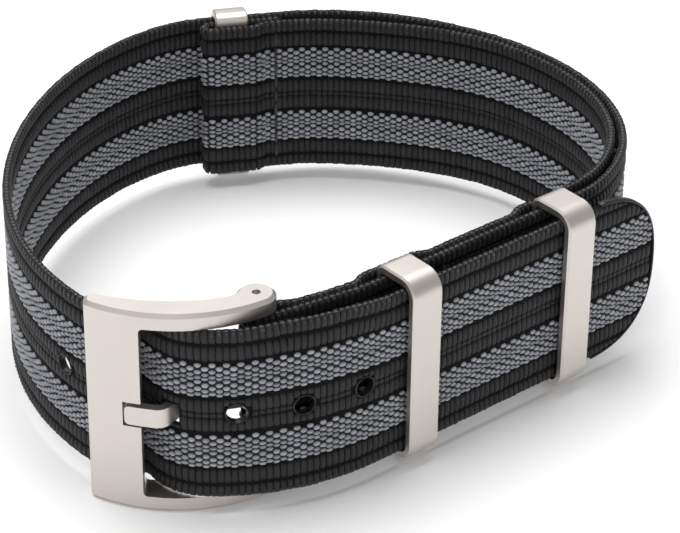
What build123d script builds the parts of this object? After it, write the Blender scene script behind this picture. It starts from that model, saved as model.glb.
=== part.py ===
from build123d import *
import os
from math import acos, asin, atan2, cos, degrees, radians, sin, tan

# A woven watch strap of the pull-through kind, buckled and standing on its long edge.
# Units are millimetres. The plan is drawn looking down, and every strap runs upright.

# Webbing
webbing_width = 20.0
webbing_thickness = 1.0
layer_gap = 0.06
hole_diameter = 2.2
hole_pitch = 7.0
holes_towards_tip = 3
holes_towards_loop = 2
hole_rise = 0.4

# Wrist loop, measured on the centre line of the long strap
loop_width = 68.0
loop_depth = 73.2
buckle_place_shares = (-0.431, -0.552)
ring_place_shares = (-0.3456, 0.9426)
right_side_shares = ((1.0, 0.158), (0.828, 0.631), (0.431, 0.9126), (0.1427, 0.989))
left_upper_shares = ((-0.699, 0.77), (-0.942, 0.38), (-1.018, -0.055))
left_lower_shares = ((-0.931, -0.5), (-0.741, -0.79))
ring_heading = 192.0

# Buckle frame
frame_outer_radius = 16.6
frame_inner_radius = 20.7
frame_depth = 3.2
frame_lean_share = 0.048
left_end_share = 0.539
window_edge_share = 0.199
pin_boss_radius = 2.05
pin_angle = 35.2
arm_thickness = 1.8
frame_side_gap = 0.3
boss_blend_radius = 2.0
bar_end_radius = 0.8
window_corner_radius = 0.5
window_lip_radius = 0.5
frame_edge_bevel = 0.4
notch_length = 1.9
notch_depth = 0.9
notch_clearance = 0.35

# Tongue
tongue_width = 2.2
tongue_thickness = 1.0
tongue_rise = -0.25
tongue_eye_radius = 1.8
tongue_gap = 0.08
tongue_tip_radius = 0.5
tongue_dip = 1.15
tongue_plunge_radius = 1.1
tongue_inner_radius = 1.5
tongue_past_strap = 0.15
tongue_hole_clearance = 0.12
tongue_hole_play = 0.65
tongue_hole_corner = 0.3

# Spring bar
barrel_radius = 0.9
barrel_wall = 0.3
barrel_end_gap = 0.15
tip_radius = 0.4
tip_travel = 1.35
plunger_length = 3.2
running_gap = 0.05
spring_wire = 0.18
spring_turns = 6

# Tail and inner run
under_bar_gap = 0.5
bar_entry_angle = 19.0
window_angle = 59.5
window_bend_radius = 7.0
tail_bend_radius = 26.2
tail_angle = 40.0
near_keeper_distance = 5.9
keeper_spacing = 22.0
tail_tip_distance = 12.9
run_gap = 2.15
fold_parallel_start = 5.0
lead_in_length = 1.9
flap_start_gap = 0.5
flap_length = 1.3
flap_lift = 0.07
wrap_angle = 70.0
run_bend_radius = 30.0
run_bend_distance = 5.0
run_end_distance = 3.5

# Keepers
keeper_width = 4.0
keeper_outer_band = 0.8
keeper_inner_band = 0.7
keeper_side_band = 0.9
keeper_tail_gap = 0.4
keeper_side_gap = 0.3
keeper_front_radius = 2.2
keeper_back_radius = 1.2
keeper_front_window_radius = 1.0
keeper_back_window_radius = 0.35
keeper_edge_bevel = 0.2
keeper_travel = 1.0
pocket_margin = 0.2
pocket_rise_length = 2.0
bar_gap = 0.05

# Back ring and its fold
ring_travel = 0.5
ring_strap_gap = 0.2
ring_straight = 7.0
ring_past = 3.2
fold_end_distance = 6.3
ring_rise_length = 1.6
inner_strap_place_shares = (0.1, 0.22, 0.36, 0.5, 0.64, 0.78, 0.88)
inner_strap_gaps = (0.6, 0.35, 0.15, 0.15, 0.3, 1.2, 1.5)

# Stitching
thread_diameter = 0.3
thread_proud = 0.12
stitch_length = 1.9
stitch_count = 9
row_from_end = 1.0
row_past_pocket = 0.8

overrun = 5.0
even_speed = 1.0
station_spacing = 6.0
least_stations = 6

strap_bottom = arm_thickness + frame_side_gap
strap_top = strap_bottom + webbing_width
frame_height = strap_top + strap_bottom
keeper_height = webbing_width + 2 * (keeper_side_gap + keeper_side_band)
middle_height = frame_height / 2
tongue_height = middle_height + tongue_rise
half_webbing = webbing_thickness / 2
hole_height = middle_height + hole_rise
fold_radius = barrel_radius + layer_gap + half_webbing
layer_step = webbing_thickness + layer_gap
run_inset = webbing_thickness + run_gap
bulge_step = webbing_thickness + keeper_inner_band + 2 * bar_gap


def place(shares):
    """A plan point given as shares of half the loop's width and depth."""
    return Vector(shares[0] * loop_width / 2, shares[1] * loop_depth / 2)


def heading(angle):
    """Unit vector in plan, with the angle measured from +X in degrees."""
    return Vector(cos(radians(angle)), sin(radians(angle)))


def left_of(angle):
    return heading(angle + 90)


def angle_of(vector):
    return degrees(atan2(vector.Y, vector.X))


def smooth(points, start, end):
    """A curve through plan points that leaves and arrives along two unit vectors."""
    return Spline(*points, tangents=[start, end], tangent_scalars=[even_speed, even_speed])


def upright(plan, bottom=strap_bottom, top=strap_top):
    """Extrude a plan face between two heights."""
    return Pos(0, 0, bottom) * extrude(plan, amount=top - bottom, dir=(0, 0, 1))


def plan_box(low, high):
    """A face in plan between two corner points."""
    return Pos((low.X + high.X) / 2, (low.Y + high.Y) / 2) * Rectangle(high.X - low.X, high.Y - low.Y)


# The frame's two arcs, and the pin where the outer arc and the boss touch
outer_centre = place(buckle_place_shares)
frame_lean = frame_lean_share * frame_outer_radius
inner_centre = outer_centre + Vector(-frame_lean, frame_inner_radius - frame_outer_radius + frame_depth)
pin = outer_centre + heading(pin_angle - 90) * (frame_outer_radius - pin_boss_radius)
window_edge_x = outer_centre.X - window_edge_share * frame_outer_radius
lip_centre_distance = frame_inner_radius + window_lip_radius
lip_angle = degrees(asin((inner_centre.X - window_edge_x + window_lip_radius) / lip_centre_distance))
under_bar_radius = frame_inner_radius - under_bar_gap - half_webbing


def tail_edges():
    """Centre line from under the bar, out through the window and straight on to the tip."""
    start = inner_centre + heading(-90 - bar_entry_angle) * under_bar_radius
    under_bar = JernArc(start, heading(-bar_entry_angle), under_bar_radius, bar_entry_angle - lip_angle)
    lip_bend_radius = window_lip_radius + under_bar_gap + half_webbing
    round_lip = JernArc(under_bar @ 1, under_bar % 1, lip_bend_radius, lip_angle - window_angle)
    out_of_window = JernArc(round_lip @ 1, round_lip % 1, window_bend_radius, window_angle)
    over_pin = JernArc(out_of_window @ 1, out_of_window % 1, tail_bend_radius, tail_angle)
    run_length = near_keeper_distance + keeper_spacing + tail_tip_distance
    straight = Line(over_pin @ 1, (over_pin @ 1) + (over_pin % 1) * run_length)
    return [under_bar, round_lip, out_of_window, over_pin, straight]


tail = tail_edges()
near_foot = (tail[4] @ 0) + heading(tail_angle) * near_keeper_distance


def run_point(distance, inset):
    """A plan point along the straight run from the near keeper, and inwards from the tail."""
    return near_foot + heading(tail_angle) * distance + left_of(tail_angle) * inset


run_bend = run_point(-run_bend_distance, run_inset)
fold_chord = run_bend - pin
fold_heading = angle_of(fold_chord) + degrees(asin(fold_radius / fold_chord.length))


def fold_point(distance, offset):
    """A plan point in the fold's own frame, with the pin as its origin."""
    return pin + heading(fold_heading) * distance + left_of(fold_heading) * offset


# The fold ends where the short strap's flap leaves room for the rise to the near keeper's pocket
pocket_half_length = keeper_width / 2 + keeper_travel + pocket_margin
pocket_start = run_point(-pocket_half_length, run_inset + bulge_step)
flap_end_distance = (pocket_start - pin).dot(heading(fold_heading)) - lead_in_length
fold_return_length = flap_end_distance - flap_length - flap_start_gap


def inner_run_edges():
    """Centre line from the folded end, round the pin and along the inner run."""
    return_end = fold_point(fold_return_length, layer_step - fold_radius)
    parallel = fold_point(fold_parallel_start, layer_step - fold_radius)
    flat_return = Line(return_end, parallel)
    wrap_start = pin + heading(fold_heading + wrap_angle) * fold_radius
    closing_heading = heading(fold_heading + wrap_angle + 90)
    closing = smooth([parallel, wrap_start], -heading(fold_heading), closing_heading)
    wrap = CenterArc(pin, fold_radius, fold_heading + wrap_angle, 360 - 90 - wrap_angle)
    turn = tail_angle - fold_heading
    tangent_length = run_bend_radius * (1 - cos(radians(turn))) / sin(radians(turn))
    fold_run = Line(wrap @ 1, run_bend - heading(fold_heading) * tangent_length)
    bend = JernArc(fold_run @ 1, heading(fold_heading), run_bend_radius, turn)
    run = Line(bend @ 1, run_point(keeper_spacing + run_end_distance, run_inset))
    return [flat_return, closing, wrap, fold_run, bend, run]


inner_run = inner_run_edges()
ring_foot = place(ring_place_shares)


def ring_point(distance, inset):
    """A plan point in the ring's frame, along the long strap and inwards from its centre line."""
    return ring_foot + heading(ring_heading) * distance + left_of(ring_heading) * inset


def loop_edges():
    """Centre line of the long strap round the wrist, straight where the back ring holds it."""
    run = inner_run[5]
    right_points = [place(shares) for shares in right_side_shares]
    ring_start = ring_point(-ring_straight, 0)
    right = smooth([run @ 1, *right_points, ring_start], run % 1, heading(ring_heading))
    through_ring = Line(ring_start, ring_point(ring_past, 0))
    left_points = [place(shares) for shares in left_upper_shares + left_lower_shares]
    left = smooth([through_ring @ 1, *left_points, tail[0] @ 0], heading(ring_heading), tail[0] % 0)
    return [right, through_ring, left]


loop = loop_edges()


def beside(edge, distance):
    """An edge that keeps an even distance from another one, on its left."""
    is_arc = edge.geom_type == GeomType.CIRCLE
    steps = 2 if is_arc else max(least_stations, round(edge.length / station_spacing))
    points = []
    for step in range(steps + 1):
        sideways = left_of(angle_of(edge.tangent_at(step / steps)))
        points.append(edge.position_at(step / steps) + sideways * distance)
    if edge.geom_type == GeomType.LINE:
        return Line(points[0], points[-1])
    if is_arc:
        return ThreePointArc(*points)
    return smooth(points, edge.tangent_at(0), edge.tangent_at(1))


def band(edges):
    """A strip of webbing that stands on its long edge and follows a centre line."""
    left_side = [beside(edge, half_webbing) for edge in edges]
    right_side = [beside(edge, -half_webbing) for edge in edges]
    first_end = Line(right_side[0] @ 0, left_side[0] @ 0)
    last_end = Line(left_side[-1] @ 1, right_side[-1] @ 1)
    return upright(make_face(left_side + [last_end] + right_side + [first_end]))


def hole_distances():
    """Distances of the hole centres along the tail from its start under the bar."""
    turned = degrees(acos(1 - tongue_dip / window_bend_radius))
    to_tongue_hole = tail[0].length + tail[1].length + tail[2].length - radians(turned) * window_bend_radius
    steps = range(-holes_towards_loop, holes_towards_tip + 1)
    return [to_tongue_hole + step * hole_pitch for step in steps]


def punch(curve, distance, outline):
    """A cutter square to the strap, at a distance along a curve."""
    share = distance / curve.length
    centre = curve.position_at(share)
    along = curve.tangent_at(share)
    across = Plane(origin=(centre.X, centre.Y, hole_height), x_dir=along, z_dir=left_of(angle_of(along)))
    return extrude(across * outline, amount=webbing_thickness, both=True)


def hole_cutters():
    """All the adjusting holes; the one the tongue stands in is pulled a little longer."""
    tail_curve = Wire(tail)
    left_curve = loop[2]
    round_hole = Circle(hole_diameter / 2)
    length = tongue_thickness + 2 * tongue_hole_clearance + tongue_hole_play
    height = tongue_width + 2 * tongue_hole_clearance
    stretched_hole = RectangleRounded(length, height, tongue_hole_corner)
    stretched_hole = Pos(tongue_hole_play / 2, hole_height - tongue_height) * stretched_hole
    distances = hole_distances()
    cutters = [punch(tail_curve, distances[holes_towards_loop], stretched_hole)]
    for distance in distances[:holes_towards_loop] + distances[holes_towards_loop + 1:]:
        if distance < 0:
            cutters.append(punch(left_curve, left_curve.length + distance, round_hole))
        else:
            cutters.append(punch(tail_curve, distance, round_hole))
    return cutters


def tip_trimmer():
    """What is cut away to round the strap's free end to a half circle."""
    tip = tail[4] @ 1
    across = Plane(origin=(tip.X, tip.Y, middle_height), x_dir=heading(tail_angle), z_dir=left_of(tail_angle))
    radius = webbing_width / 2
    square_end = Pos(overrun / 2 - radius / 2, 0) * Rectangle(radius + overrun, webbing_width + overrun)
    rounded = Pos(-radius, 0) * Circle(radius)
    return extrude(across * (square_end - rounded), amount=webbing_thickness, both=True)


def tongue_slot():
    """The slot in the fold that the tongue's eye stands in."""
    half_width = tongue_width / 2 + notch_clearance
    reach = fold_radius + webbing_thickness
    slot = plan_box(Vector(-reach, -reach), Vector(tongue_eye_radius + notch_clearance, reach))
    turned = Pos(pin.X, pin.Y) * Rot(0, 0, fold_heading) * slot
    return upright(turned, tongue_height - half_width, tongue_height + half_width)


def make_long_strap():
    strap = band(inner_run + loop + tail)
    return strap - hole_cutters() - tip_trimmer() - tongue_slot()


def bulge_edges(first, last, distance):
    """A rise over a keeper's inner bar, the flat over it and the fall after it."""
    along = heading(tail_angle)
    high = run_inset + bulge_step
    low = run_inset + layer_step
    before = distance - pocket_half_length
    after = distance + pocket_half_length
    flat = Line(run_point(before, high), run_point(after, high))
    edges = [flat]
    if first:
        rise_start = run_point(before - pocket_rise_length, low)
        edges.insert(0, smooth([rise_start, flat @ 0], along, along))
    if last:
        fall_end = run_point(after + pocket_rise_length, low)
        edges.append(smooth([flat @ 1, fall_end], along, along))
    return edges


def short_strap_edges():
    """Centre line from the cut end by the buckle, past both keepers and round the back ring."""
    flap_start = fold_point(flap_end_distance - flap_length, layer_step - fold_radius)
    flap_end = fold_point(flap_end_distance, layer_step - fold_radius + flap_lift)
    near = bulge_edges(False, True, 0)
    far = bulge_edges(True, False, keeper_spacing)
    flap = Line(flap_start, flap_end)
    lead_in = smooth([flap_end, near[0] @ 0], flap % 1, heading(tail_angle))
    between = Line(near[-1] @ 1, far[0] @ 0)
    long_right = loop[0]
    points = []
    for share, gap in zip(inner_strap_place_shares, inner_strap_gaps):
        sideways = left_of(angle_of(long_right.tangent_at(share)))
        points.append(long_right.position_at(share) + sideways * (webbing_thickness + gap))
    outer_inset = ring_strap_gap + webbing_thickness
    inner_inset = outer_inset + layer_step
    bar_inset = outer_inset + bulge_step
    half_bar = keeper_width / 2 + ring_travel + bar_gap
    along = heading(ring_heading)
    flat_start = ring_point(-fold_end_distance - layer_gap, inner_inset)
    free = smooth([far[-1] @ 1, *points, flat_start], heading(tail_angle), along)
    flat = Line(flat_start, ring_point(-half_bar - ring_rise_length, inner_inset))
    rise = smooth([flat @ 1, ring_point(-half_bar, bar_inset)], along, along)
    inside_bar = Line(rise @ 1, ring_point(half_bar, bar_inset))
    turn_centre = ring_point(half_bar, (bar_inset + outer_inset) / 2)
    around = CenterArc(turn_centre, bulge_step / 2, ring_heading + 90, -180)
    back = Line(around @ 1, ring_point(-fold_end_distance, outer_inset))
    return [flap, lead_in] + near + [between] + far + [free, flat, rise, inside_bar, around, back]


def make_short_strap():
    return band(short_strap_edges())


def frame_outline():
    """Plan of the frame: the crescent between two arcs, cut square at the left, with the pin boss."""
    outer = Pos(outer_centre.X, outer_centre.Y) * Circle(frame_outer_radius)
    inner = Pos(inner_centre.X, inner_centre.Y) * Circle(frame_inner_radius)
    crescent = outer - inner
    left_x = outer_centre.X - left_end_share * frame_outer_radius
    low = Vector(left_x, outer_centre.Y - frame_outer_radius - overrun)
    keep = plan_box(low, Vector(pin.X + pin_boss_radius, pin.Y + frame_outer_radius))
    boss = Pos(pin.X, pin.Y) * Circle(pin_boss_radius)
    half_beyond = frame_outer_radius / 2
    beyond = plan_box(Vector(-half_beyond, 0), Vector(half_beyond, half_beyond))
    beyond = Pos(pin.X, pin.Y) * Rot(0, 0, pin_angle - 90) * beyond
    outline = crescent & keep
    outline = (outline - beyond) + boss
    joint = outline.vertices().filter_by(lambda v: from_boss_edge(v) < running_gap).sort_by(inner_distance)[0]
    outline = fillet(joint, boss_blend_radius)
    corners = outline.vertices().sort_by(Axis.X)[0:2]
    return fillet(corners, bar_end_radius)


def from_boss_edge(vertex):
    """How far a corner of the frame's plan lies from the boss's own circle."""
    return abs((Vector(vertex) - pin).length - pin_boss_radius)


def inner_distance(vertex):
    """How far a corner of the frame's plan lies from the inner arc."""
    return abs((Vector(vertex) - inner_centre).length - frame_inner_radius)


def make_buckle_frame():
    outline = frame_outline()
    body = upright(outline, 0, frame_height) - window_cutter() - lip_cutter(outline)
    body = chamfer([edge for edge in body.edges() if on_outer_rim(edge)], frame_edge_bevel)
    return body - pin_holes() - notch_cutter()


def window_cutter():
    """The space between the two arms, with its corners against the bar rounded."""
    low = Vector(window_edge_x, pin.Y - frame_outer_radius)
    high = Vector(pin.X + frame_outer_radius, pin.Y + frame_outer_radius)
    cutter = upright(plan_box(low, high), arm_thickness, frame_height - arm_thickness)
    return fillet(cutter.edges().filter_by(Axis.Y).sort_by(Axis.X)[0:2], window_corner_radius)


def lip_cutter(outline):
    """What is cut from the bar's inner edge at the window, so that the strap bends round a lip."""
    low = Vector(window_edge_x - frame_outer_radius, outer_centre.Y - frame_outer_radius - overrun)
    bar = outline & plan_box(low, Vector(window_edge_x, outer_centre.Y))
    at_window = bar.vertices().filter_by(lambda vertex: abs(vertex.X - window_edge_x) < running_gap)
    rounded = fillet(at_window.sort_by(Axis.Y)[-1], window_lip_radius)
    return upright(bar - rounded, arm_thickness, frame_height - arm_thickness)


def on_outer_rim(edge):
    """True for the edges that run round the frame's top and bottom faces."""
    height = edge.center().Z
    return height < layer_gap or height > frame_height - layer_gap


def pin_holes():
    hole = Pos(pin.X, pin.Y) * Circle(tip_radius + running_gap)
    return upright(hole, -overrun, frame_height + overrun)


def notch_cutter():
    """The shallow rest for the tongue's end, cut to an even depth in the bar's curved face."""
    outer = Pos(outer_centre.X, outer_centre.Y) * Circle(frame_outer_radius + overrun)
    floor = Pos(outer_centre.X, outer_centre.Y) * Circle(frame_outer_radius - notch_depth)
    low = Vector(window_edge_x - notch_length, outer_centre.Y - frame_outer_radius - overrun)
    region = plan_box(low, Vector(window_edge_x + overrun, outer_centre.Y))
    half_width = tongue_width / 2 + notch_clearance
    return upright((outer - floor) & region, tongue_height - half_width, tongue_height + half_width)


def tongue_edges():
    """Centre line of the tongue: flat in the notch, square through the hole and on to the pin."""
    rest_radius = frame_outer_radius - notch_depth + tongue_gap + tongue_thickness / 2
    tip_x = window_edge_x - notch_length + notch_clearance
    tip_angle = degrees(asin((outer_centre.X - tip_x) / rest_radius))
    leave_angle = degrees(asin((outer_centre.X - window_edge_x) / rest_radius))
    resting = CenterArc(outer_centre, rest_radius, -90 - tip_angle, tip_angle - leave_angle)
    tail_curve = Wire(tail)
    hole_share = hole_distances()[holes_towards_loop] / tail_curve.length
    hole = tail_curve.position_at(hole_share)
    leaving = resting % 1
    crossing = left_of(angle_of(tail_curve.tangent_at(hole_share)))
    turn = angle_of(crossing) - angle_of(leaving)
    to_corner = (hole - resting @ 1).cross(crossing).Z / leaving.cross(crossing).Z
    before_corner = tongue_plunge_radius * tan(radians(turn / 2))
    over = Line(resting @ 1, (resting @ 1) + leaving * (to_corner - before_corner))
    plunge = JernArc(over @ 1, leaving, tongue_plunge_radius, turn)
    through = Line(plunge @ 1, hole + crossing * (half_webbing + tongue_past_strap))
    bend_centre = (through @ 1) - left_of(angle_of(crossing)) * tongue_inner_radius
    to_pin = pin - bend_centre
    pin_heading = angle_of(to_pin) - degrees(asin(tongue_inner_radius / to_pin.length))
    bend = JernArc(through @ 1, crossing, tongue_inner_radius, pin_heading - angle_of(crossing))
    return [resting, over, plunge, through, bend, Line(bend @ 1, pin)]


def make_buckle_tongue():
    flat = trace(Curve() + tongue_edges(), line_width=tongue_thickness)
    eye = Pos(pin.X, pin.Y) * Circle(tongue_eye_radius)
    bore = Pos(pin.X, pin.Y) * Circle(barrel_radius + running_gap)
    low = tongue_height - tongue_width / 2
    body = upright(flat + eye, low, low + tongue_width) - upright(bore, low - overrun, low + overrun)
    end_face = body.faces().sort_by(Axis.X)[0]
    corners = [edge for edge in end_face.edges() if abs((edge % 0).Z) < tongue_gap]
    return fillet(corners, tongue_tip_radius)


def make_spring_bar_tube():
    wall = Circle(barrel_radius) - Circle(barrel_radius - barrel_wall)
    low = arm_thickness + barrel_end_gap
    return upright(Pos(pin.X, pin.Y) * wall, low, frame_height - low)


def make_spring_bar_tip(upper):
    """A stepped plunger: its head slides in the tube and its point stands in the arm's hole."""
    shoulder = arm_thickness + barrel_end_gap
    head = Pos(pin.X, pin.Y) * Circle(barrel_radius - barrel_wall - running_gap)
    point = Pos(pin.X, pin.Y) * Circle(tip_radius)
    plunger = upright(point, shoulder - tip_travel, shoulder + running_gap)
    plunger += upright(head, shoulder + running_gap, shoulder + plunger_length)
    if upper:
        return Pos(0, 0, frame_height) * mirror(plunger, Plane.XY)
    return plunger


def make_spring_bar_spring():
    """The coil between the two plungers inside the tube."""
    low = arm_thickness + barrel_end_gap + plunger_length + running_gap + spring_wire / 2
    length = frame_height - 2 * low
    radius = barrel_radius - barrel_wall - running_gap - spring_wire / 2
    path = Helix(pitch=length / spring_turns, height=length, radius=radius)
    section = Plane(origin=path @ 0, z_dir=path % 0) * RegularPolygon(spring_wire / 2, 4)
    return Pos(pin.X, pin.Y, low) * sweep(section, path)


def rounded_oblong(outer, inner, height, front_radius, back_radius):
    """A rectangle across the strap whose corners are rounder on the outer side."""
    oblong = Pos((outer + inner) / 2, 0) * Rectangle(inner - outer, height)
    oblong = fillet(oblong.vertices().sort_by(Axis.X)[0:2], front_radius)
    return fillet(oblong.vertices().sort_by(Axis.X)[-2:], back_radius)


def ring_solid(foot, angle, window_outer, window_inner):
    """A metal band bent to a rectangle round the straps, given the insets of its window's two faces."""
    across = Plane(origin=(foot.X, foot.Y, middle_height), x_dir=left_of(angle), z_dir=heading(angle))
    outer_face = window_outer - keeper_outer_band
    inner_face = window_inner + keeper_inner_band
    outline = rounded_oblong(outer_face, inner_face, keeper_height, keeper_front_radius, keeper_back_radius)
    window_height = keeper_height - 2 * keeper_side_band
    window = rounded_oblong(
        window_outer, window_inner, window_height, keeper_front_window_radius, keeper_back_window_radius)
    block = extrude(across * outline, amount=keeper_width / 2, both=True)
    rims = [edge for edge in block.edges() if keeper_rim(edge, foot, angle)]
    return chamfer(rims, keeper_edge_bevel) - extrude(across * window, amount=keeper_width, both=True)


def keeper_rim(edge, foot, angle):
    """True for the edges round a keeper's two open ends."""
    from_foot = edge.center() - foot
    along = abs(from_foot.dot(heading(angle)))
    return along > keeper_width / 2 - keeper_edge_bevel


def make_keeper(distance):
    window_outer = -half_webbing - keeper_tail_gap
    window_inner = run_inset + half_webbing + bar_gap
    foot = run_point(distance, 0)
    return ring_solid(foot, tail_angle, window_outer, window_inner)


def make_back_ring():
    window_outer = -half_webbing - keeper_tail_gap
    window_inner = ring_strap_gap + webbing_thickness + half_webbing + bar_gap
    return ring_solid(ring_foot, ring_heading, window_outer, window_inner)


def stitch_row(point, angle, low_inset, high_inset):
    """One row of lock stitches across the webbing, with thread on both faces and through them."""
    across = Plane(origin=(point.X, point.Y, middle_height), x_dir=left_of(angle), z_dir=heading(angle))
    depth = high_inset - low_inset
    row_height = stitch_count * stitch_length + thread_diameter
    plate = Rectangle(depth + 2 * thread_proud, row_height)
    cell = Rectangle(depth + 2 * (thread_proud - thread_diameter), stitch_length - thread_diameter)
    cells = GridLocations(0, stitch_length, 1, stitch_count) * cell
    row = Pos((low_inset + high_inset) / 2, 0) * (plate - cells)
    return extrude(across * row, amount=thread_diameter / 2, both=True)


def make_fold_stitching():
    """Rows that close the fold round the pin and hold the short strap's cut end."""
    low = -fold_radius - half_webbing
    high = layer_step - fold_radius + half_webbing
    places = (fold_return_length - row_from_end, fold_return_length + flap_start_gap + row_from_end)
    rows = [stitch_row(fold_point(place, 0), fold_heading, low, high) for place in places]
    return Compound(rows)


def make_keeper_stitching():
    """Rows beside the keepers' pockets."""
    from_centre = pocket_half_length + pocket_rise_length + row_past_pocket
    low = run_inset - half_webbing
    high = run_inset + layer_step + half_webbing
    places = (from_centre, keeper_spacing - from_centre)
    return Compound([stitch_row(run_point(place, 0), tail_angle, low, high) for place in places])


def make_ring_stitching():
    outer_inset = ring_strap_gap + webbing_thickness
    low = outer_inset - half_webbing
    high = outer_inset + layer_step + half_webbing
    return Compound([stitch_row(ring_point(-fold_end_distance + row_from_end, 0), ring_heading, low, high)])


def build():
    """All pieces of the strap by name, in the plan's own frame."""
    return {
        "long_strap": make_long_strap(),
        "short_strap": make_short_strap(),
        "buckle_frame": make_buckle_frame(),
        "buckle_tongue": make_buckle_tongue(),
        "spring_bar_tube": make_spring_bar_tube(),
        "spring_bar_upper_tip": make_spring_bar_tip(True),
        "spring_bar_lower_tip": make_spring_bar_tip(False),
        "spring_bar_spring": make_spring_bar_spring(),
        "near_keeper": make_keeper(0),
        "far_keeper": make_keeper(keeper_spacing),
        "back_keeper": make_back_ring(),
        "fold_stitching": make_fold_stitching(),
        "keeper_stitching": make_keeper_stitching(),
        "ring_stitching": make_ring_stitching(),
    }


pieces = build()
whole = Compound([Compound([piece]) for piece in pieces.values()]).bounding_box()
centre = whole.center()
to_origin = Pos(-centre.X, -centre.Y, 0)
os.makedirs("parts", exist_ok=True)
for name, piece in pieces.items():
    export_step(to_origin * piece, "parts/" + name + ".step")
    print(name, round(piece.volume, 2), len(piece.solids()))
print("bounds", whole.min, whole.max)
print("pin", pin - centre, "near keeper", near_foot - centre, "ring", ring_foot - centre)
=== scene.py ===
# %% [markdown]
# A pull-through watch strap is two lengths of woven nylon webbing, a buckle and three flat
# metal keepers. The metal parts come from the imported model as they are. The webbing is dressed
# here: a thin core follows the strap's own line, and the raised threads of the weave stand on
# it, inside the millimetre of thickness that the solid strap has.
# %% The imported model
from math import acos, asin, atan2, ceil, cos, degrees, pi, radians, sin, sqrt
import bmesh
import bpy
import numpy as np
from mathutils import Matrix, Vector


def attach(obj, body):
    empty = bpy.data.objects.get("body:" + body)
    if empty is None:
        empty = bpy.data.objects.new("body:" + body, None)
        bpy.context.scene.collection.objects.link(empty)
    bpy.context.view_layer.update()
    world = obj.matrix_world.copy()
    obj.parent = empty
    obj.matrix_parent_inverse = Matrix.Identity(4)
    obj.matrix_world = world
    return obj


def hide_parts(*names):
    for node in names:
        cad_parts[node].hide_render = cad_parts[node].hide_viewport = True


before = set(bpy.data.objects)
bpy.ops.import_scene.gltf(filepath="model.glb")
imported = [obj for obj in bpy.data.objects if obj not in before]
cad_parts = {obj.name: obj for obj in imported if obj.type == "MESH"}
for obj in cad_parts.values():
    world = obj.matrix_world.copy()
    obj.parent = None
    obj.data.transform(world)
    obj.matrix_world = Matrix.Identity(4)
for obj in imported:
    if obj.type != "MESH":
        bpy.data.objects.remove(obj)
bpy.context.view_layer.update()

MM = 0.001

# %% [markdown]
# The strap's line is drawn in plan, looking down, in millimetres. The same sizes as in the
# part's source give the same line: arcs by the buckle, a straight tail, and smooth curves
# round the wrist. A cubic curve through a few points could also come from a Bezier object,
# but worked out here it runs exactly where the solid strap runs.
# %% Sizes of the webbing and of the loop
WEBBING_WIDTH, WEBBING_THICKNESS, LAYER_GAP = 20.0, 1.0, 0.06
HALF = WEBBING_THICKNESS / 2
LAYER_STEP = WEBBING_THICKNESS + LAYER_GAP
STRAP_MIDDLE, HOLE_HEIGHT, TONGUE_HEIGHT = 12.1, 12.5, 11.85
LOOP_HALF = np.array((34.0, 36.6))
# Where the middle of the loop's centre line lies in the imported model's frame.
LOOP_CENTRE = np.array((-1.08555, 0.0371))
print("loop on its centre line", 2 * LOOP_HALF, "mm")


def place(across, deep):
    """A plan point from its shares of half the loop's width and depth."""
    return np.array((across, deep)) * LOOP_HALF + LOOP_CENTRE


def toward(angle):
    return np.array((cos(radians(angle)), sin(radians(angle))))


def left(angle):
    return toward(angle + 90)


def heading_of(vector):
    return degrees(atan2(vector[1], vector[0]))


# %% Straight runs, bends and smooth curves as rows of points
LINE_STEP = 0.24
LEAST_STEPS = 6


def straight(start, end):
    steps = max(2, ceil(np.linalg.norm(end - start) / LINE_STEP))
    return start + (end - start) * np.linspace(0, 1, steps + 1)[:, None]


def bend(start, angle, radius, turn):
    """An arc that leaves start at an angle; a positive turn goes to the left."""
    side = 1 if turn > 0 else -1
    steps = max(LEAST_STEPS, ceil(radius * radians(abs(turn)) / LINE_STEP))
    centre = start + left(angle) * radius * side
    shares = np.linspace(0, 1, steps + 1)
    return np.array([centre - left(angle + turn * share) * radius * side for share in shares])


def smooth(points, start_way, end_way):
    """A cubic curve through points, leaving and arriving along two unit vectors."""
    points = np.array(points, dtype=float)
    gaps = np.linalg.norm(np.diff(points, axis=0), axis=1)
    count = len(points)
    system = np.eye(count)
    wanted = np.zeros((count, 2))
    wanted[0], wanted[-1] = start_way, end_way
    for i in range(1, count - 1):
        before, after = gaps[i - 1], gaps[i]
        system[i, i - 1:i + 2] = after, 2 * (before + after), before
        wanted[i] = 3 * (after * (points[i] - points[i - 1]) / before
                         + before * (points[i + 1] - points[i]) / after)
    ways = np.linalg.solve(system, wanted)
    line = [points[:1]]
    for i, gap in enumerate(gaps):
        share = np.linspace(0, 1, max(LEAST_STEPS, ceil(gap / LINE_STEP)) + 1)[1:, None]
        line.append((2 * share**3 - 3 * share**2 + 1) * points[i]
                    + (share**3 - 2 * share**2 + share) * gap * ways[i]
                    + (3 * share**2 - 2 * share**3) * points[i + 1]
                    + (share**3 - share**2) * gap * ways[i + 1])
    return np.vstack(line)


# %% Measuring along a line
def run_together(*pieces):
    """Pieces of line joined end to end, with the shared points kept once."""
    return np.vstack([pieces[0]] + [piece[1:] for piece in pieces[1:]])


def length_of(line):
    return float(np.linalg.norm(np.diff(line, axis=0), axis=1).sum())


def distances_on(line):
    """How far along the line each of its points lies."""
    return np.concatenate(([0], np.cumsum(np.linalg.norm(np.diff(line, axis=0), axis=1))))


def along(line, distance):
    """The point and heading at a distance along a line."""
    run = distances_on(line)
    spot, ahead, behind = [
        np.array([np.interp(distance + shift, run, line[:, axis]) for axis in (0, 1)])
        for shift in (0, 0.05, -0.05)]
    return spot, heading_of(ahead - behind)


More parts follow.
